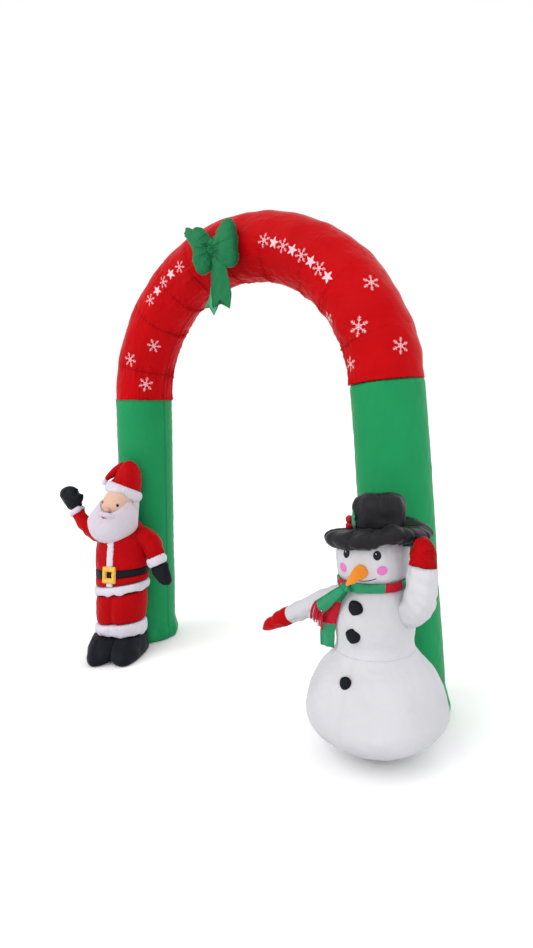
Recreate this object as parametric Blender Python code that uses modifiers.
"""Inflatable arch with a bow on its crown and two inflated figures at its feet.

Metres, +Z up, the front towards -Y. Each cut panel of the air-filled body is its own solid,
drawn in at its seams and round between them, and stands a hair's breadth from the next one.
The origin is the middle of the footprint, on the floor.
"""

import math
from collections import namedtuple

import bmesh
import bpy
from mathutils import Matrix, Vector

TAU = 2 * math.pi
GAP = 0.0003            # between two pieces that touch

# ---------------------------------------------------------------- driving sizes
HEIGHT = 2.40           # floor to the top of the crown
TUBE_RADIUS = 0.166
SPRING_HEIGHT = 1.456   # the legs are straight below this
HALF_SPAN = 0.822       # middle of the arch to the tube's centre, at the springing
LEG_SPREAD = 0.0537     # how far a leg leans out, in metres for each metre down
TUBE_SIDES = 32
GORE_RINGS = 4          # spans along one gore
GORE_SEAM_DRAW = 0.005  # how far a seam pulls the tube in
GORE_STRAIGHTNESS = 0.5  # 0 follows the curve, 1 is a straight tube between seams
COLOUR_TURN = 3.2       # degrees along the curve where green meets red
SEAM_TURNS = (17.5, 41.0, 58.5, 73.5, 91.5, 109.0, 128.5, 142.0, 162.5)

PANEL_SEAM_DRAW = 0.004
PANEL_SEAM_REACH = 0.012
PANEL_STEP = 0.036      # spacing of the rings on a figure's body
CLOTH_THICKNESS = 0.002

SANTA_PLACE = (-0.832, -0.289)
SANTA_FACING = 17.0     # degrees, from -Y towards +X
SANTA_LEAN = 0.100      # metres sideways for each metre up
SANTA_SIDES = 22

SNOWMAN_PLACE = (0.940, -0.395)
SNOWMAN_SIDES = 28

BOW_PLACE = (0.008, 2.190)

Colour = namedtuple("Colour", "name red green blue roughness metallic")
COLOURS = (
    Colour("arch_red", 0.75, 0.02, 0.03, 0.45, 0.0),
    Colour("arch_green", 0.03, 0.36, 0.14, 0.45, 0.0),
    Colour("bow_green", 0.02, 0.26, 0.11, 0.5, 0.0),
    Colour("coat_red", 0.66, 0.02, 0.03, 0.5, 0.0),
    Colour("white", 0.80, 0.80, 0.84, 0.55, 0.0),
    Colour("black", 0.03, 0.035, 0.045, 0.5, 0.0),
    Colour("skin", 0.85, 0.58, 0.45, 0.55, 0.0),
    Colour("gold", 0.85, 0.55, 0.10, 0.45, 0.0),
    Colour("carrot", 0.90, 0.32, 0.04, 0.5, 0.0),
    Colour("leaf_green", 0.03, 0.30, 0.16, 0.5, 0.0),
    Colour("scarf_green", 0.05, 0.38, 0.22, 0.6, 0.0),
    Colour("scarf_red", 0.68, 0.05, 0.09, 0.6, 0.0),
)

Girth = namedtuple("Girth", "height half_width half_depth")
Panel = namedtuple("Panel", "name colour bottom top swell cleft")
Bend = namedtuple("Bend", "x y z radius")
Footprint = namedtuple("Footprint", "height half_width front back")
Corner = namedtuple("Corner", "x z")
Fold = namedtuple("Fold", "x y z half_width facing")


# ---------------------------------------------------------------- scene and materials
def clear_scene():
    for obj in list(bpy.data.objects):
        bpy.data.objects.remove(obj, do_unlink=True)


def new_collection(name):
    collection = bpy.data.collections.new(name)
    bpy.context.scene.collection.children.link(collection)
    return collection


def make_materials():
    made = {}
    for row in COLOURS:
        material = bpy.data.materials.new(row.name)
        material.use_nodes = True
        shader = material.node_tree.nodes["Principled BSDF"]
        shader.inputs["Base Color"].default_value = (row.red, row.green, row.blue, 1.0)
        shader.inputs["Roughness"].default_value = row.roughness
        shader.inputs["Metallic"].default_value = row.metallic
        made[row.name] = material
    return made


clear_scene()
PARTS = new_collection("inflatable_arch")
CUTTERS = new_collection("cutters")
MATERIALS = make_materials()


def add_empty(name, place=(0.0, 0.0, 0.0), parent=None, turn=0.0, nod=0.0, tip=0.0):
    """A handle that carries pieces: it turns about Z, nods about X and tips about Y."""
    empty = bpy.data.objects.new(name, None)
    empty.location = place
    empty.rotation_euler = (math.radians(nod), math.radians(tip), math.radians(turn))
    empty.parent = parent
    PARTS.objects.link(empty)
    return empty


def finish_mesh(name, shape, colour, parent):
    """The bmesh as an object of the part, its faces pointing out."""
    bmesh.ops.recalc_face_normals(shape, faces=shape.faces)
    bmesh.ops.triangulate(shape, faces=shape.faces)
    mesh = bpy.data.meshes.new(name)
    shape.to_mesh(mesh)
    shape.free()
    mesh.shade_smooth()
    mesh.set_sharp_from_angle(angle=math.radians(50))
    mesh.materials.append(MATERIALS[colour])
    obj = bpy.data.objects.new(name, mesh)
    obj.parent = parent
    PARTS.objects.link(obj)
    return obj


def add_loft(name, rings, colour, parent):
    """A closed skin over rings of equal length, with a flat face at each end."""
    shape = bmesh.new()
    rows = [[shape.verts.new(point) for point in ring] for ring in rings]
    sides = len(rows[0])
    for low, high in zip(rows, rows[1:]):
        for i in range(sides):
            j = (i + 1) % sides
            shape.faces.new((low[i], low[j], high[j], high[i]))
    shape.faces.new(rows[0])
    shape.faces.new(rows[-1])
    return finish_mesh(name, shape, colour, parent)


def lean_over(obj, lean):
    """Shears a mesh sideways with height, which keeps its feet flat on the floor."""
    shear = Matrix.Identity(4)
    shear[0][2] = lean
    obj.data.transform(shear)


# ---------------------------------------------------------------- clearances
def as_cutter(obj):
    """A hidden copy of a piece, thicker by the gap, that keeps its neighbour clear of it."""
    mesh = obj.data.copy()
    moved = [vertex.co + vertex.normal * GAP for vertex in mesh.vertices]
    for vertex, place in zip(mesh.vertices, moved):
        vertex.co = place
    cutter = bpy.data.objects.new("clear_" + obj.name, mesh)
    cutter.parent = obj.parent
    cutter.location = obj.location
    cutter.rotation_euler = obj.rotation_euler
    cutter.hide_render = True
    cutter.display_type = "WIRE"
    CUTTERS.objects.link(cutter)
    return cutter


def seat_on(piece, *carriers):
    """Takes from a piece what would reach into the pieces that carry it."""
    for carrier in carriers:
        modifier = piece.modifiers.new("seat", "BOOLEAN")
        modifier.operation = "DIFFERENCE"
        modifier.object = as_cutter(carrier)


# ---------------------------------------------------------------- curves through tables
def blend_rows(before, low, high, after, part):
    """One point of the smooth curve through four rows, between the middle two."""
    out = []
    for p0, p1, p2, p3 in zip(before, low, high, after):
        rise = (p2 - p0) / 2
        fall = (p3 - p1) / 2
        square = part * part
        cube = square * part
        out.append((2 * cube - 3 * square + 1) * p1 + (cube - 2 * square + part) * rise
                   + (3 * square - 2 * cube) * p2 + (cube - square) * fall)
    return out


def smooth_rows(rows, steps, closed=False):
    """A table of points made finer, `steps` for each of its spans."""
    count = len(rows)
    spans = count if closed else count - 1
    fine = []
    for k in range(spans):
        if closed:
            four = [rows[(k + shift) % count] for shift in (-1, 0, 1, 2)]
        else:
            four = [rows[max(0, min(count - 1, k + shift))] for shift in (-1, 0, 1, 2)]
        fine += [blend_rows(*four, step / steps) for step in range(steps)]
    if not closed:
        fine.append(list(rows[-1]))
    return fine


def girth_at(table, height):
    """Half width and half depth of a body at a height, smooth between the table's rows."""
    heights = [row.height for row in table]
    k = 0
    while k < len(table) - 2 and height > heights[k + 1]:
        k += 1
    part = (height - heights[k]) / (heights[k + 1] - heights[k])
    ease = max(0.0, min(1.0, part))
    rows = [table[max(0, min(len(table) - 1, k + shift))] for shift in (-1, 0, 1, 2)]
    _, half_width, half_depth = blend_rows(*rows, ease)
    return half_width, half_depth


# ---------------------------------------------------------------- kinds of piece
def panel_heights(bottom, top):
    """Ring heights of one panel: its two seams, just inside each, and even steps between."""
    reach = min(PANEL_SEAM_REACH, (top - bottom) / 4)
    inner_low = bottom + reach
    inner_high = top - reach
    spans = max(1, round((inner_high - inner_low) / PANEL_STEP))
    inner = [inner_low + (inner_high - inner_low) * k / spans for k in range(spans + 1)]
    return [bottom] + inner + [top]


def slope_at(slants, height):
    """How steeply the seams run across a body at a height, from a table of slants."""
    for low, high in zip(slants, slants[1:]):
        if low.height <= height <= high.height:
            part = (height - low.height) / (high.height - low.height)
            return low.slope + (high.slope - low.slope) * part
    return 0.0


def add_panel(row, table, sides, parent, lean=0.0, slants=()):
    """One band of a figure's body, drawn in along its two seams."""
    rings = []
    middle = (row.bottom + row.top) / 2
    half_height = (row.top - row.bottom) / 2
    for height in panel_heights(row.bottom + GAP / 2, row.top - GAP / 2):
        half_width, half_depth = girth_at(table, height)
        at_seam = abs(height - middle) > half_height - GAP
        draw = PANEL_SEAM_DRAW if at_seam else 0.0
        off_middle = min(1.0, abs(height - middle) / half_height)
        swell = row.swell * math.sqrt(1 - off_middle ** 2)
        ring = []
        for i in range(sides):
            turn = TAU * i / sides
            to_front = 1 - abs(math.sin(turn))
            dent = 1 - row.cleft * to_front ** 4
            x = (half_width + swell - draw) * math.sin(turn)
            y = -(half_depth + swell - draw) * math.cos(turn) * dent
            ring.append((x, y, height + slope_at(slants, height) * x))
        rings.append(ring)
    obj = add_loft(row.name, rings, row.colour, parent)
    lean_over(obj, lean)
    return obj


def add_limb(name, bends, sides, colour, parent, steps=2, lean=0.0):
    """A round tube along a smooth path, as thick as the table says at each bend."""
    fine = smooth_rows(bends, steps)
    centres = [Vector(row[:3]) for row in fine]
    rings = []
    side = None
    for k, centre in enumerate(centres):
        before = centres[max(0, k - 1)]
        after = centres[min(len(centres) - 1, k + 1)]
        along = (after - before).normalized()
        if side is None:
            side = along.orthogonal().normalized()
        side = (side - along * side.dot(along)).normalized()
        across = along.cross(side)
        radius = fine[k][3]
        rings.append([centre + (side * math.cos(TAU * i / sides)
                                + across * math.sin(TAU * i / sides)) * radius
                      for i in range(sides)])
    obj = add_loft(name, rings, colour, parent)
    lean_over(obj, lean)
    return obj


def add_pillow(name, outline, thickness, colour, parent, place, turn=0.0, tilt=0.0,
               layers=3, steps=2, lean=0.0):
    """Two panels sewn along an upright outline and filled: thickest in the middle."""
    fine = smooth_rows(outline, steps, closed=True)
    middle_x = sum(row.x for row in outline) / len(outline)
    middle_z = sum(row.z for row in outline) / len(outline)
    rings = []
    for layer in range(-layers, layers + 1):
        angle = math.radians(78) * layer / layers
        shrink = math.cos(angle)
        y = thickness / 2 * math.sin(angle)
        rings.append([(middle_x + (x - middle_x) * shrink, y,
                       middle_z + (z - middle_z) * shrink) for x, z in fine])
    obj = add_loft(name, rings, colour, parent)
    obj.data.transform(Matrix.Rotation(math.radians(tilt), 4, "X"))
    obj.data.transform(Matrix.Rotation(math.radians(turn), 4, "Z"))
    obj.data.transform(Matrix.Translation(place))
    lean_over(obj, lean)
    return obj


def add_ball(name, centre, radii, colour, parent, segments=14, rings=9, lean=0.0):
    shape = bmesh.new()
    bmesh.ops.create_uvsphere(shape, u_segments=segments, v_segments=rings, radius=1.0)
    bmesh.ops.scale(shape, vec=radii, verts=shape.verts)
    bmesh.ops.translate(shape, vec=centre, verts=shape.verts)
    obj = finish_mesh(name, shape, colour, parent)
    lean_over(obj, lean)
    return obj


def strip_rows(folds, steps):
    """Points along a strip: its middle, and the direction across it at each of them."""
    fine = smooth_rows(folds, steps)
    centres = [Vector(row[:3]) for row in fine]
    out = []
    for k, (x, y, z, half_width, facing) in enumerate(fine):
        along = centres[min(len(fine) - 1, k + 1)] - centres[max(0, k - 1)]
        angle = math.radians(facing)
        outward = Vector((math.sin(angle), -math.cos(angle), 0.0))
        across = outward.cross(along).normalized()
        out.append((Vector((x, y, z)), across * half_width))
    return out


def as_cloth(obj):
    sheet = obj.modifiers.new("cloth", "SOLIDIFY")
    sheet.thickness = CLOTH_THICKNESS
    sheet.offset = 0.0
    return obj


def add_strip(name, folds, colour, parent, columns=4, notch=0.0, steps=2):
    """A strip of cloth along a table of folds. A notch cuts its end to a swallow tail."""
    shape = bmesh.new()
    lines = strip_rows(folds, steps)
    rows = []
    for k, (middle, reach) in enumerate(lines):
        row = []
        for column in range(columns + 1):
            part = 2 * column / columns - 1
            point = middle + reach * part
            if k == len(lines) - 1:
                point.z += notch * (1 - abs(part))
            row.append(shape.verts.new(point))
        rows.append(row)
    for low, high in zip(rows, rows[1:]):
        for column in range(columns):
            shape.faces.new((low[column], low[column + 1], high[column + 1], high[column]))
    return as_cloth(finish_mesh(name, shape, colour, parent))


# ---------------------------------------------------------------- the arch
def tube_at(turn):
    """Centre of the tube and its outward direction, `turn` degrees along the curve."""
    angle = math.radians(turn)
    rise = HEIGHT - TUBE_RADIUS - SPRING_HEIGHT
    centre = Vector((-HALF_SPAN * math.cos(angle), 0.0, SPRING_HEIGHT + rise * math.sin(angle)))
    outward = Vector((-rise * math.cos(angle), 0.0, HALF_SPAN * math.sin(angle))).normalized()
    return centre, outward


def tube_ring(centre, outward, radius):
    front = Vector((0.0, -1.0, 0.0))
    return [centre + (front * math.cos(TAU * i / TUBE_SIDES)
                      + outward * math.sin(TAU * i / TUBE_SIDES)) * radius
            for i in range(TUBE_SIDES)]


def add_gore(number, start, end, parent):
    """One red gore between two seams, as a mitred tube that swells between them."""
    start_centre, start_out = tube_at(start)
    end_centre, end_out = tube_at(end)
    along = (end_centre - start_centre).normalized()
    rings = []
    for k in range(GORE_RINGS + 1):
        part = (1 - math.cos(math.pi * k / GORE_RINGS)) / 2
        curved, outward = tube_at(start + (end - start) * part)
        straight = start_centre.lerp(end_centre, part)
        centre = curved.lerp(straight, GORE_STRAIGHTNESS)
        draw = GORE_SEAM_DRAW * abs(2 * part - 1) ** 3
        shift = along * GAP / 2 * (1 - 2 * part)
        rings.append(tube_ring(centre + shift, outward, TUBE_RADIUS - draw))
    return add_loft(f"gore_{number}", rings, "arch_red", parent)


Foot = namedtuple("Foot", "height flare")
LEG_FOOT = (Foot(0.0, 0.002), Foot(0.014, 0.012), Foot(0.045, 0.014), Foot(0.080, 0.007),
            Foot(0.120, 0.0))
LEG_HEIGHTS = (0.50, 0.90, 1.25)


def add_leg(name, side, parent):
    """A straight green leg that leans out to its foot, where it flares over the base."""
    rows = [(row.height, row.flare) for row in LEG_FOOT] + [(z, 0.0) for z in LEG_HEIGHTS]
    rings = []
    for height, flare in rows:
        reach = HALF_SPAN + LEG_SPREAD * (SPRING_HEIGHT - height)
        centre = Vector((side * reach, 0.0, height))
        rings.append(tube_ring(centre, Vector((side, 0.0, 0.0)), TUBE_RADIUS + flare))
    for turn, draw in ((1.2, 0.0), (COLOUR_TURN, GORE_SEAM_DRAW)):
        centre, outward = tube_at(turn)
        centre.x *= -side
        outward.x *= -side
        centre.z -= GAP / 2
        rings.append(tube_ring(centre, outward, TUBE_RADIUS - draw))
    return add_loft(name, rings, "arch_green", parent)


def add_arch(parent):
    pieces = [add_leg("leg_left", -1, parent), add_leg("leg_right", 1, parent)]
    seams = (COLOUR_TURN,) + SEAM_TURNS + (180 - COLOUR_TURN,)
    for number, (start, end) in enumerate(zip(seams, seams[1:]), 1):
        pieces.append(add_gore(number, start, end, parent))
    return pieces


# ---------------------------------------------------------------- the bow
BOW_THICKNESS = 0.085
BOW_LOOP_LEFT = (
    Corner(-0.002, 0.034), Corner(-0.044, 0.090), Corner(-0.100, 0.122), Corner(-0.160, 0.122),
    Corner(-0.184, 0.100), Corner(-0.172, 0.066), Corner(-0.142, 0.020), Corner(-0.126, -0.040),
    Corner(-0.118, -0.086), Corner(-0.074, -0.108), Corner(-0.030, -0.075),
    Corner(-0.002, -0.022),
)
BOW_LOOP_RIGHT = (
    Corner(0.002, -0.025), Corner(0.050, -0.075), Corner(0.105, -0.100), Corner(0.155, -0.080),
    Corner(0.162, -0.020), Corner(0.144, 0.040), Corner(0.138, 0.096), Corner(0.106, 0.124),
    Corner(0.056, 0.096), Corner(0.026, 0.050), Corner(0.002, 0.028),
)
BOW_TAIL_FRONT = (
    Fold(0.004, -0.226, -0.020, 0.018, 0), Fold(0.006, -0.226, -0.090, 0.024, 0),
    Fold(0.010, -0.214, -0.150, 0.046, 0), Fold(0.014, -0.196, -0.215, 0.056, 0),
    Fold(0.018, -0.190, -0.275, 0.064, 0),
)
BOW_TAIL_BACK = (
    Fold(-0.004, -0.204, -0.020, 0.016, 0), Fold(-0.008, -0.204, -0.090, 0.022, 0),
    Fold(-0.020, -0.188, -0.150, 0.040, 0), Fold(-0.034, -0.179, -0.215, 0.048, 0),
    Fold(-0.046, -0.175, -0.295, 0.056, 0),
)
BOW_NOTCH = 0.045


def add_bow(parent, gores):
    """Two filled loops and a knot, with two tails of cloth that hang over the tube."""
    bow = add_empty("bow", (BOW_PLACE[0], 0.0, BOW_PLACE[1]), parent)
    front = -TUBE_RADIUS - 0.030
    knot = add_ball("bow_knot", (0.0, front - 0.020, 0.0), (0.024, 0.038, 0.036),
                    "bow_green", bow)
    left = add_pillow("bow_loop_left", BOW_LOOP_LEFT, BOW_THICKNESS, "bow_green", bow,
                      (0.0, front, 0.0), turn=6)
    right = add_pillow("bow_loop_right", BOW_LOOP_RIGHT, BOW_THICKNESS, "bow_green", bow,
                       (0.0, front, 0.0), turn=-6)
    near_gores = gores[3:7]
    for piece in (knot, left, right):
        seat_on(piece, *near_gores)
    for loop in (left, right):
        seat_on(loop, knot)
    seat_on(right, left)
    tail_front = add_strip("bow_tail_front", BOW_TAIL_FRONT, "bow_green", bow, notch=BOW_NOTCH)
    tail_back = add_strip("bow_tail_back", BOW_TAIL_BACK, "bow_green", bow, notch=BOW_NOTCH)
    for tail in (tail_front, tail_back):
        seat_on(tail, knot, left, right)


# ---------------------------------------------------------------- Father Christmas
SANTA_GIRTH = (
    Girth(0.110, 0.150, 0.116), Girth(0.206, 0.149, 0.119), Girth(0.300, 0.155, 0.124),
    Girth(0.372, 0.156, 0.122), Girth(0.430, 0.160, 0.124), Girth(0.500, 0.166, 0.126),
    Girth(0.620, 0.167, 0.125), Girth(0.700, 0.154, 0.117), Girth(0.755, 0.122, 0.101),
    Girth(0.795, 0.088, 0.086), Girth(0.840, 0.092, 0.090), Girth(0.900, 0.099, 0.097),
    Girth(0.965, 0.094, 0.092),
)
Slant = namedtuple("Slant", "height slope")
SANTA_SLANTS = (Slant(0.110, 0.0), Slant(0.160, 0.0), Slant(0.206, 0.08), Slant(0.372, 0.12),
                Slant(0.430, 0.12), Slant(0.500, 0.03), Slant(0.600, 0.0), Slant(0.965, 0.0))
SANTA_PANELS = (
    Panel("santa_trouser_cuff", "white", 0.132, 0.206, 0.014, 0.06),
    Panel("santa_trousers", "coat_red", 0.206, 0.372, 0.0, 0.10),
    Panel("santa_coat_hem", "white", 0.372, 0.430, 0.013, 0.0),
    Panel("santa_coat_skirt", "coat_red", 0.430, 0.478, 0.002, 0.0),
    Panel("santa_belt", "black", 0.478, 0.522, 0.0, 0.0),
    Panel("santa_coat_chest", "coat_red", 0.522, 0.795, 0.0, 0.0),
    Panel("santa_head", "skin", 0.795, 0.965, 0.0, 0.0),
)
SANTA_FEET_SHIFT = 0.001  # the boots stand straight while the body leans
SANTA_BOOTS_TURN = 14.0   # the feet point further round than the coat
SANTA_BOOT = (
    Footprint(0.0, 0.070, 0.228, 0.090), Footprint(0.014, 0.081, 0.244, 0.100),
    Footprint(0.045, 0.084, 0.240, 0.108), Footprint(0.080, 0.080, 0.203, 0.110),
    Footprint(0.110, 0.072, 0.158, 0.108), Footprint(0.1317, 0.064, 0.130, 0.100),
)
SANTA_BOOT_SPREAD = 0.084
SANTA_BOOT_INNER = 1.5    # how much wider a boot would be inwards, were it not pressed flat
SANTA_BOOT_SIDES = 24
SANTA_HAT_PLACE = (0.098, 0.0, 0.966)
SANTA_HAT_TIP = 16.0      # degrees that the hat tips to the figure's left
HAT_BAND_GIRTH = (Girth(-0.036, 0.090, 0.090), Girth(0.036, 0.090, 0.090))
HAT_BAND_PANEL = Panel("santa_hat_band", "white", -0.036, 0.036, 0.022, 0.0)
SANTA_HAT = (
    Bend(0.0, 0.0, 0.022, 0.090), Bend(0.0, 0.0, 0.066, 0.092),
    Bend(0.008, 0.002, 0.104, 0.082), Bend(0.002, 0.000, 0.132, 0.056),
    Bend(-0.038, -0.012, 0.134, 0.038), Bend(-0.074, -0.026, 0.110, 0.030),
    Bend(-0.096, -0.036, 0.080, 0.022), Bend(-0.104, -0.041, 0.052, 0.014),
)
SANTA_HAT_END = Bend(-0.106, -0.043, 0.036, 0.018)
BEARD_GIRTH = (
    Girth(0.676, 0.040, 0.036), Girth(0.690, 0.082, 0.068), Girth(0.715, 0.116, 0.090),
    Girth(0.750, 0.144, 0.106), Girth(0.790, 0.154, 0.113), Girth(0.840, 0.149, 0.110),
    Girth(0.890, 0.124, 0.094), Girth(0.945, 0.098, 0.074),
)
BEARD_PANEL = Panel("santa_beard", "white", 0.676, 0.945, 0.0, 0.0)
BEARD_PLACE = (-0.028, -0.064, 0.0)
FACE_WINDOW = (0.0, -0.150, 0.948)
FACE_WINDOW_RADII = (0.106, 0.165, 0.068)
SANTA_RAISED_SLEEVE = (
    Bend(-0.070, 0.0, 0.690, 0.052), Bend(-0.160, -0.004, 0.696, 0.051),
    Bend(-0.226, -0.006, 0.735, 0.047), Bend(-0.276, -0.008, 0.786, 0.042),
    Bend(-0.316, -0.010, 0.836, 0.037),
)
SANTA_RAISED_CUFF = (
    Bend(-0.3140, -0.010, 0.8320, 0.039), Bend(-0.3180, -0.010, 0.8380, 0.045),
    Bend(-0.3290, -0.010, 0.8550, 0.045), Bend(-0.3330, -0.010, 0.8610, 0.039),
)
SANTA_RAISED_MITTEN = (
    Corner(-0.036, -0.008), Corner(-0.076, 0.026), Corner(-0.116, 0.078), Corner(-0.104, 0.118),
    Corner(-0.054, 0.138), Corner(-0.004, 0.128), Corner(0.012, 0.100), Corner(0.032, 0.090),
    Corner(0.050, 0.086), Corner(0.050, 0.060), Corner(0.038, 0.032), Corner(0.032, 0.010),
)
SANTA_LOWERED_SLEEVE = (
    Bend(0.060, 0.0, 0.700, 0.054), Bend(0.136, -0.003, 0.706, 0.056),
    Bend(0.198, -0.006, 0.668, 0.055), Bend(0.222, -0.008, 0.622, 0.052),
    Bend(0.233, -0.009, 0.588, 0.048),
)
SANTA_LOWERED_CUFF = (
    Bend(0.2280, -0.009, 0.5990, 0.047), Bend(0.2320, -0.009, 0.5900, 0.054),
    Bend(0.2470, -0.010, 0.5560, 0.054), Bend(0.2510, -0.010, 0.5470, 0.047),
)
SANTA_LOWERED_MITTEN = (
    Corner(-0.038, 0.012), Corner(-0.042, -0.026), Corner(-0.026, -0.068),
    Corner(0.012, -0.100), Corner(0.052, -0.118), Corner(0.080, -0.110), Corner(0.084, -0.076),
    Corner(0.066, -0.020), Corner(0.048, 0.018),
)
MITTEN_THICKNESS = 0.070
TRIM_HALF_WIDTH = 0.020
TRIM_THICKNESS = 0.010
BUCKLE_SIZE = (0.086, 0.036, 0.098)
BUCKLE_HEIGHT = 0.502
BUCKLE_HOLE = 0.026


def add_boot(name, side, parent):
    """A rounded boot, flat underneath and along its fellow, with its toe well forward."""
    rings = []
    for row in SANTA_BOOT:
        ring = []
        for i in range(SANTA_BOOT_SIDES):
            turn = TAU * i / SANTA_BOOT_SIDES
            reach = row.front if math.cos(turn) > 0 else row.back
            outward = math.sin(turn)
            if outward < 0:
                outward *= SANTA_BOOT_INNER
            x = max(GAP, SANTA_BOOT_SPREAD + row.half_width * outward)
            ring.append((side * x, -reach * math.cos(turn), row.height))
        rings.append(ring)
    return add_loft(name, rings, "black", parent)


def add_front_strip(name, table, bottom, top, carriers, parent):
    """A flat strip down the front of the coat, between two heights."""
    rings = []
    for height in panel_heights(bottom, top):
        _, depth = girth_at(table, height)
        inner = -(depth - 0.006)
        outer = -(depth + TRIM_THICKNESS)
        rings.append([(-TRIM_HALF_WIDTH, inner, height), (-TRIM_HALF_WIDTH, outer, height),
                      (TRIM_HALF_WIDTH, outer, height), (TRIM_HALF_WIDTH, inner, height)])
    strip = add_loft(name, rings, "white", parent)
    lean_over(strip, SANTA_LEAN)
    seat_on(strip, *carriers)
    return strip


def add_buckle(parent, carriers):
    """A square frame on the belt, which shows through its middle."""
    shape = bmesh.new()
    bmesh.ops.create_cube(shape, size=1.0)
    bmesh.ops.scale(shape, vec=BUCKLE_SIZE, verts=shape.verts)
    _, depth = girth_at(SANTA_GIRTH, BUCKLE_HEIGHT)
    place = (SANTA_LEAN * BUCKLE_HEIGHT, -depth, BUCKLE_HEIGHT)
    bmesh.ops.translate(shape, vec=place, verts=shape.verts)
    buckle = finish_mesh("santa_buckle", shape, "gold", parent)
    hole = bpy.data.meshes.new("buckle_hole")
    shape = bmesh.new()
    bmesh.ops.create_cube(shape, size=1.0)
    bmesh.ops.scale(shape, vec=(BUCKLE_HOLE, 0.2, BUCKLE_HOLE), verts=shape.verts)
    bmesh.ops.translate(shape, vec=place, verts=shape.verts)
    shape.to_mesh(hole)
    shape.free()
    cutter = bpy.data.objects.new("buckle_hole", hole)
    cutter.parent = parent
    cutter.hide_render = True
    cutter.display_type = "WIRE"
    CUTTERS.objects.link(cutter)
    seat_on(buckle, *carriers)
    modifier = buckle.modifiers.new("hole", "BOOLEAN")
    modifier.operation = "DIFFERENCE"
    modifier.object = cutter
    return buckle


def add_santa_hat(santa, head):
    """The hat, tipped to one side: its band, the bent cone and the white end."""
    frame = add_empty("santa_hat_frame", SANTA_HAT_PLACE, santa, tip=SANTA_HAT_TIP)
    band = add_panel(HAT_BAND_PANEL, HAT_BAND_GIRTH, SANTA_SIDES, frame)
    hat = add_limb("santa_hat", SANTA_HAT, 18, "coat_red", frame)
    end = SANTA_HAT_END
    hat_end = add_ball("santa_hat_end", end[:3], (end.radius,) * 3, "white", frame,
                       segments=10, rings=7)
    seat_on(head, band)
    seat_on(hat, band)
    seat_on(hat_end, hat, band)
    return band


def add_beard(santa, carriers):
    """A full beard that runs up both sides of the face to the hat, open over the face."""
    beard = add_panel(BEARD_PANEL, BEARD_GIRTH, 20, santa)
    beard.data.transform(Matrix.Translation(BEARD_PLACE))
    lean_over(beard, SANTA_LEAN)
    seat_on(beard, *carriers)
    window = add_ball("face_window", FACE_WINDOW, FACE_WINDOW_RADII, "white", santa,
                      lean=SANTA_LEAN)
    PARTS.objects.unlink(window)
    seat_on(beard, window)
    return beard


def add_santa_arm(side, sleeve_bends, cuff_bends, outline, santa, carriers):
    """A sleeve out of the coat, its white cuff and a filled mitten."""
    sleeve = add_limb(f"santa_{side}_sleeve", sleeve_bends, 14, "coat_red", santa,
                      lean=SANTA_LEAN)
    cuff = add_limb(f"santa_{side}_cuff", cuff_bends, 14, "white", santa, steps=1,
                    lean=SANTA_LEAN)
    mitten = add_pillow(f"santa_{side}_mitten", outline, MITTEN_THICKNESS, "black", santa,
                        cuff_bends[-1][:3], lean=SANTA_LEAN)
    seat_on(sleeve, *carriers, cuff)
    seat_on(mitten, cuff)


def add_santa(parent):
    santa = add_empty("santa", (*SANTA_PLACE, 0.0), parent, SANTA_FACING)
    body = {row.name: add_panel(row, SANTA_GIRTH, SANTA_SIDES, santa, SANTA_LEAN, SANTA_SLANTS)
            for row in SANTA_PANELS}
    chest = body["santa_coat_chest"]
    head = body["santa_head"]
    skirt = body["santa_coat_skirt"]
    place = (SANTA_FEET_SHIFT, 0.0, 0.0)
    feet = add_empty("santa_feet", place, santa, SANTA_BOOTS_TURN)
    body["santa_boot_right"] = add_boot("santa_boot_right", -1, feet)
    body["santa_boot_left"] = add_boot("santa_boot_left", 1, feet)
    band = add_santa_hat(santa, head)
    beard = add_beard(santa, (chest, head, band))
    nose = add_ball("santa_nose", (0.0, -0.100, 0.902), (0.019, 0.024, 0.017), "skin", santa,
                    segments=10, rings=7, lean=SANTA_LEAN)
    seat_on(nose, head)
    buckle = add_buckle(santa, (body["santa_belt"], chest, skirt))
    half = BUCKLE_SIZE[2] / 2 + GAP
    add_front_strip("santa_trim_upper", SANTA_GIRTH, BUCKLE_HEIGHT + half, 0.700,
                    (chest, beard), santa)
    add_front_strip("santa_trim_lower", SANTA_GIRTH, 0.4305, BUCKLE_HEIGHT - half,
                    (skirt, body["santa_coat_hem"]), santa)
    add_santa_arm("raised", SANTA_RAISED_SLEEVE, SANTA_RAISED_CUFF, SANTA_RAISED_MITTEN,
                  santa, (chest, beard))
    add_santa_arm("lowered", SANTA_LOWERED_SLEEVE, SANTA_LOWERED_CUFF, SANTA_LOWERED_MITTEN,
                  santa, (chest, beard))
    body["santa_hat_band"] = band
    return body


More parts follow.
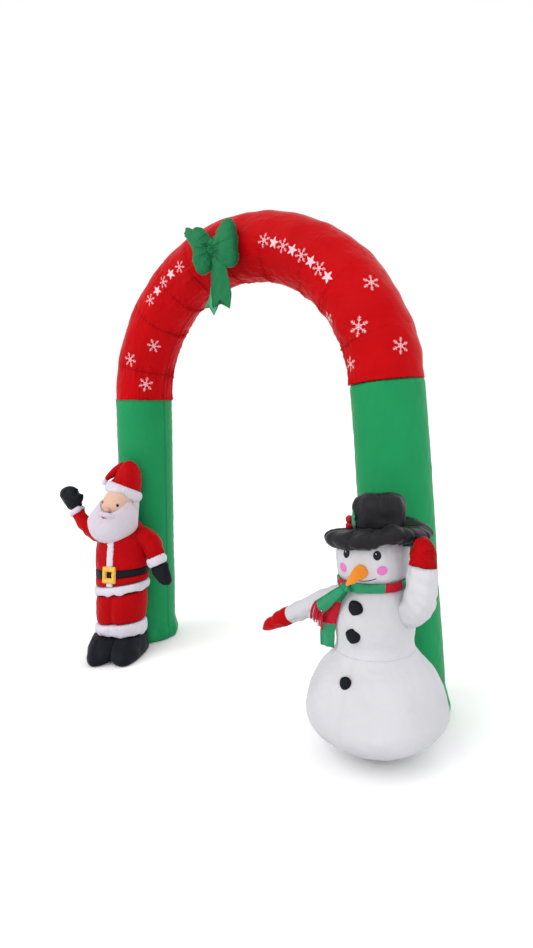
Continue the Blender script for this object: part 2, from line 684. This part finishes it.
# ---------------------------------------------------------------- snowman
SNOWMAN_GIRTH = (
    Girth(0.000, 0.056, 0.056), Girth(0.020, 0.104, 0.104), Girth(0.050, 0.158, 0.158),
    Girth(0.090, 0.217, 0.217), Girth(0.130, 0.261, 0.261), Girth(0.172, 0.282, 0.282),
    Girth(0.225, 0.279, 0.279), Girth(0.290, 0.259, 0.259), Girth(0.350, 0.226, 0.226),
    Girth(0.400, 0.180, 0.180), Girth(0.438, 0.151, 0.151), Girth(0.480, 0.157, 0.157),
    Girth(0.540, 0.163, 0.163), Girth(0.600, 0.160, 0.160), Girth(0.655, 0.144, 0.144),
    Girth(0.706, 0.124, 0.124), Girth(0.745, 0.138, 0.138), Girth(0.790, 0.145, 0.145),
    Girth(0.840, 0.142, 0.142), Girth(0.890, 0.130, 0.130),
)
SNOWMAN_PANELS = (
    Panel("snowman_ball", "white", -GAP / 2, 0.438, 0.0, 0.0),
    Panel("snowman_torso", "white", 0.438, 0.706, 0.0, 0.0),
    Panel("snowman_head", "white", 0.706, 0.885, 0.0, 0.0),
)
HAT_PLACE = (0.014, 0.022, 0.847)
HAT_TURN = 28.0
HAT_NOD = -4.5            # degrees: the brim lifts where it is turned to
BRIM_GIRTH = (Girth(0.0, 0.168, 0.168), Girth(0.060, 0.168, 0.168))
BRIM_PANEL = Panel("snowman_hat_brim", "black", 0.0, 0.060, 0.048, 0.0)
CROWN_GIRTH = (
    Girth(0.060, 0.096, 0.096), Girth(0.100, 0.098, 0.098), Girth(0.160, 0.096, 0.096),
    Girth(0.188, 0.086, 0.086), Girth(0.200, 0.064, 0.064),
)
CROWN_PANEL = Panel("snowman_hat_crown", "black", 0.060, 0.200, 0.0, 0.0)
CROWN_SIDES = 20
SCARF_BAND = (Girth(0.692, 0.136, 0.136), Girth(0.710, 0.141, 0.141), Girth(0.727, 0.139, 0.139))
SCARF_BAND_WALL = 0.008
SNOWMAN_REACHING_ARM = (
    Bend(-0.070, 0.0, 0.636, 0.052), Bend(-0.135, -0.004, 0.620, 0.053),
    Bend(-0.227, -0.008, 0.585, 0.049), Bend(-0.320, -0.010, 0.541, 0.044),
    Bend(-0.414, -0.012, 0.495, 0.0385),
)
SNOWMAN_REACHING_MITTEN = (
    Bend(-0.4115, -0.012, 0.4962, 0.034), Bend(-0.440, -0.013, 0.480, 0.038),
    Bend(-0.490, -0.015, 0.452, 0.032), Bend(-0.534, -0.018, 0.424, 0.021),
    Bend(-0.556, -0.019, 0.408, 0.008),
)
SNOWMAN_RAISED_ARM = (
    Bend(0.070, 0.0, 0.605, 0.055), Bend(0.135, -0.008, 0.602, 0.058),
    Bend(0.190, -0.022, 0.630, 0.059), Bend(0.216, -0.038, 0.692, 0.058),
    Bend(0.226, -0.048, 0.745, 0.055), Bend(0.232, -0.052, 0.798, 0.052),
)
SNOWMAN_RAISED_MITTEN = (
    Corner(-0.048, -0.012), Corner(-0.054, 0.030), Corner(-0.050, 0.068), Corner(-0.022, 0.100),
    Corner(0.006, 0.112), Corner(0.030, 0.098), Corner(0.054, 0.070), Corner(0.056, 0.030),
    Corner(0.048, -0.012),
)
SNOWMAN_MITTEN_PLACE = (0.233, -0.054, 0.798)
SNOWMAN_MITTEN_THICKNESS = 0.090
SNOWMAN_FACE_TURN = 9.0   # the head looks a little to the figure's left
SNOWMAN_NOSE = (
    Bend(0.000, -0.110, 0.778, 0.028), Bend(0.000, -0.150, 0.776, 0.027),
    Bend(-0.002, -0.200, 0.772, 0.020), Bend(-0.004, -0.245, 0.766, 0.012),
    Bend(-0.006, -0.275, 0.762, 0.005),
)
Button = namedtuple("Button", "name x height radius carrier")
SNOWMAN_BUTTONS = (
    Button("snowman_button_top", 0.009, 0.636, 0.029, "snowman_torso"),
    Button("snowman_button_middle", -0.002, 0.528, 0.029, "snowman_torso"),
    Button("snowman_button_low", -0.008, 0.364, 0.028, "snowman_ball"),
)
BUTTON_LOBES = 7
BUTTON_THICKNESS = 0.036
SCARF_TAIL_LONG = (
    Fold(-0.034, -0.134, 0.703, 0.013, -14), Fold(-0.046, -0.150, 0.692, 0.017, -14),
    Fold(-0.066, -0.154, 0.664, 0.023, -10), Fold(-0.090, -0.152, 0.622, 0.029, 0),
    Fold(-0.112, -0.148, 0.560, 0.031, 6), Fold(-0.128, -0.136, 0.500, 0.031, 10),
    Fold(-0.138, -0.126, 0.450, 0.029, 10),
)
SCARF_TAIL_SHORT = (
    Fold(-0.030, -0.134, 0.719, 0.012, -14), Fold(-0.048, -0.168, 0.702, 0.017, -14),
    Fold(-0.070, -0.176, 0.664, 0.022, -10), Fold(-0.102, -0.174, 0.627, 0.027, 0),
    Fold(-0.134, -0.168, 0.594, 0.030, 0),
)
FRINGE_STRANDS = 6
FRINGE_BACKING = 0.012
FRINGE_LENGTH = 0.080
FRINGE_SPREAD = 0.045    # how far the strands stray outwards
FRINGE_FILL = 0.62        # share of the edge that strands take up, the rest is gaps
BERRY_RADIUS = 0.013
Berry = namedtuple("Berry", "name turn height")
BERRIES = (Berry("snowman_berry_upper", -84, 0.102), Berry("snowman_berry_lower", -86, 0.077))
LEAF_TURN = -70
LEAF_HEIGHT = 0.108
LEAF_THICKNESS = 0.010
LEAF = (Corner(0.0, -0.024), Corner(0.020, -0.014), Corner(0.013, 0.004), Corner(0.022, 0.016),
        Corner(0.009, 0.026), Corner(0.0, 0.042), Corner(-0.009, 0.026), Corner(-0.022, 0.016),
        Corner(-0.013, 0.004), Corner(-0.020, -0.014))


def add_button(row, carrier, depth, parent):
    """A lobed, lumpy button, like a piece of coal, on the front of the body."""
    outline = []
    for i in range(2 * BUTTON_LOBES):
        turn = TAU * i / (2 * BUTTON_LOBES)
        radius = row.radius * (1.04 if i % 2 else 0.92)
        outline.append(Corner(radius * math.cos(turn), radius * math.sin(turn)))
    button = add_pillow(row.name, outline, BUTTON_THICKNESS, "black", parent,
                        (row.x, -depth, row.height), layers=2, steps=1)
    seat_on(button, carrier)
    return button


def add_scarf_band(parent):
    """The scarf's loop round the neck, a ring that stands clear of it."""
    outer = [(row.half_width, row.height) for row in SCARF_BAND]
    inner = [(row.half_width - SCARF_BAND_WALL, row.height) for row in reversed(SCARF_BAND)]
    profile = outer + inner
    shape = bmesh.new()
    rows = []
    for i in range(SNOWMAN_SIDES):
        turn = TAU * i / SNOWMAN_SIDES
        rows.append([shape.verts.new((radius * math.sin(turn), -radius * math.cos(turn), height))
                     for radius, height in profile])
    for i, row in enumerate(rows):
        after = rows[(i + 1) % SNOWMAN_SIDES]
        for k in range(len(profile)):
            m = (k + 1) % len(profile)
            shape.faces.new((row[k], after[k], after[m], row[m]))
    return finish_mesh("snowman_scarf_band", shape, "scarf_green", parent)


def add_fringe(parent):
    """Strands that hang from the end of the short tail, fused into one backing strip."""
    lines = strip_rows(SCARF_TAIL_SHORT, 2)
    end, reach = lines[-1]
    along = (end - lines[-2][0]).normalized()
    shape = bmesh.new()

    def corner(part, down, drop):
        point = end + reach * (2 * part - 1) + along * (2 * GAP + down)
        point.x -= drop * FRINGE_SPREAD / FRINGE_LENGTH
        point.z -= drop
        return shape.verts.new(point)

    pitch = 1 / FRINGE_STRANDS
    marks = []
    for strand in range(FRINGE_STRANDS):
        start = (strand + (1 - FRINGE_FILL) / 2) * pitch
        marks += [start, start + FRINGE_FILL * pitch]
    top = [corner(mark, 0.0, 0.0) for mark in marks]
    root = [corner(mark, FRINGE_BACKING, 0.0) for mark in marks]
    for k in range(len(marks) - 1):
        shape.faces.new((top[k], top[k + 1], root[k + 1], root[k]))
    for strand in range(FRINGE_STRANDS):
        left, right = marks[2 * strand:2 * strand + 2]
        row = root[2 * strand:2 * strand + 2]
        narrow = (right - left) / 5
        for drop in (0.45, 1.0):
            after = [corner(left + narrow, FRINGE_BACKING, drop * FRINGE_LENGTH),
                     corner(right - narrow, FRINGE_BACKING, drop * FRINGE_LENGTH)]
            shape.faces.new((row[0], row[1], after[1], after[0]))
            row = after
    return as_cloth(finish_mesh("snowman_scarf_fringe", shape, "scarf_red", parent))


def add_snowman_hat(snowman, head):
    """Brim and crown, tipped back, with a sprig of holly by the brim."""
    frame = add_empty("snowman_hat_frame", HAT_PLACE, snowman, HAT_TURN, HAT_NOD)
    brim = add_panel(BRIM_PANEL, BRIM_GIRTH, SNOWMAN_SIDES, frame)
    crown = add_panel(CROWN_PANEL, CROWN_GIRTH, CROWN_SIDES, frame)
    seat_on(head, brim)
    reach, _ = girth_at(CROWN_GIRTH, LEAF_HEIGHT)
    side = add_empty("holly_side", (0.0, 0.0, 0.0), frame, turn=LEAF_TURN)
    leaf = add_pillow("snowman_holly_leaf", LEAF, LEAF_THICKNESS, "leaf_green", side,
                      (0.0, -reach, LEAF_HEIGHT), layers=1, steps=1)
    seat_on(leaf, crown, brim)
    before = leaf
    for row in BERRIES:
        turn = math.radians(row.turn)
        out = reach + BERRY_RADIUS * 0.8
        centre = (out * math.sin(turn), -out * math.cos(turn), row.height)
        berry = add_ball(row.name, centre, (BERRY_RADIUS,) * 3, "scarf_red", frame,
                         segments=10, rings=7)
        seat_on(berry, crown, brim, leaf)
        if before is not leaf:
            seat_on(berry, before)
        before = berry
    return brim


def add_snowman(parent):
    snowman = add_empty("snowman", (*SNOWMAN_PLACE, 0.0), parent)
    body = {row.name: add_panel(row, SNOWMAN_GIRTH, SNOWMAN_SIDES, snowman)
            for row in SNOWMAN_PANELS}
    torso = body["snowman_torso"]
    head = body["snowman_head"]
    brim = add_snowman_hat(snowman, head)
    for row in SNOWMAN_BUTTONS:
        _, depth = girth_at(SNOWMAN_GIRTH, row.height)
        add_button(row, body[row.carrier], depth, snowman)
    face = add_empty("snowman_face", (0.0, 0.0, 0.0), snowman, SNOWMAN_FACE_TURN)
    nose = add_limb("snowman_nose", SNOWMAN_NOSE, 12, "carrot", face)
    seat_on(nose, head)
    band = add_scarf_band(snowman)
    seat_on(band, torso, head)
    reaching = add_limb("snowman_reaching_arm", SNOWMAN_REACHING_ARM, 14, "white", snowman)
    seat_on(reaching, torso)
    reaching_mitten = add_limb("snowman_reaching_mitten", SNOWMAN_REACHING_MITTEN, 14,
                               "scarf_red", snowman)
    seat_on(reaching_mitten, reaching)
    raised = add_limb("snowman_raised_arm", SNOWMAN_RAISED_ARM, 14, "white", snowman)
    seat_on(raised, torso)
    raised_mitten = add_pillow("snowman_raised_mitten", SNOWMAN_RAISED_MITTEN,
                               SNOWMAN_MITTEN_THICKNESS, "scarf_red", snowman,
                               SNOWMAN_MITTEN_PLACE)
    seat_on(raised_mitten, raised, brim)
    long_tail = add_strip("snowman_scarf_long", SCARF_TAIL_LONG, "scarf_red", snowman)
    seat_on(long_tail, torso, band)
    short_tail = add_strip("snowman_scarf_short", SCARF_TAIL_SHORT, "scarf_green", snowman)
    seat_on(short_tail, torso, band, reaching)
    add_fringe(snowman)
    return body


def stand_on_origin(root):
    """Moves the whole so that the origin is the middle of its footprint, on the floor."""
    bpy.context.view_layer.update()
    graph = bpy.context.evaluated_depsgraph_get()
    low = Vector((math.inf,) * 3)
    high = Vector((-math.inf,) * 3)
    for obj in PARTS.objects:
        if obj.type != "MESH":
            continue
        evaluated = obj.evaluated_get(graph)
        for vertex in evaluated.data.vertices:
            point = evaluated.matrix_world @ vertex.co
            for axis in range(3):
                low[axis] = min(low[axis], point[axis])
                high[axis] = max(high[axis], point[axis])
    root.location = (-(low.x + high.x) / 2, -(low.y + high.y) / 2, -low.z)


def main():
    root = add_empty("arch_origin")
    pieces = add_arch(root)
    add_bow(root, pieces[2:])
    santa = add_santa(root)
    snowman = add_snowman(root)
    for name in ("santa_trouser_cuff", "santa_trousers", "santa_coat_hem", "santa_coat_skirt",
                 "santa_belt", "santa_coat_chest", "santa_hat_band", "santa_boot_left"):
        seat_on(santa[name], pieces[0])
    seat_on(snowman["snowman_ball"], pieces[1])
    stand_on_origin(root)


main()
